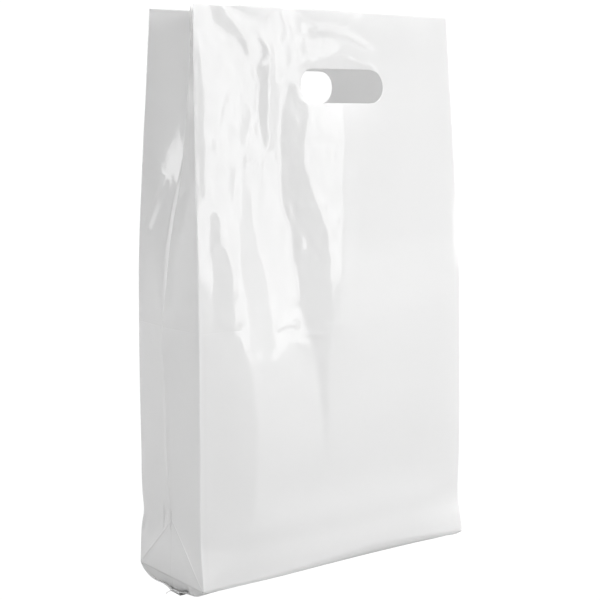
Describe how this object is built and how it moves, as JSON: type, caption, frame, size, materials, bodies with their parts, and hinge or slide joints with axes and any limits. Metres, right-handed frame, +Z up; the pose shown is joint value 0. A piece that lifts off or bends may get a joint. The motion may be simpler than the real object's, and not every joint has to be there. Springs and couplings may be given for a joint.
{
  "type": "plastic carrier bag",
  "caption": "Gusseted white film carrier bag, opened out and standing on its turned-under base, with a hand hole through the front and back panels.",
  "frame": {"origin": "on the surface that the base rests on, under the middle of the bag", "axes": "+Z up through the mouth, the front panel faces -Y and the gussets face -X and +X"},
  "size_m": [0.276, 0.096, 0.462],
  "materials": {
    "white_film": "glossy white blown polyethylene film, lightly crinkled"
  },
  "bodies": {
    "root": {"bag_film": "white_film"}
  },
  "joints": []
}
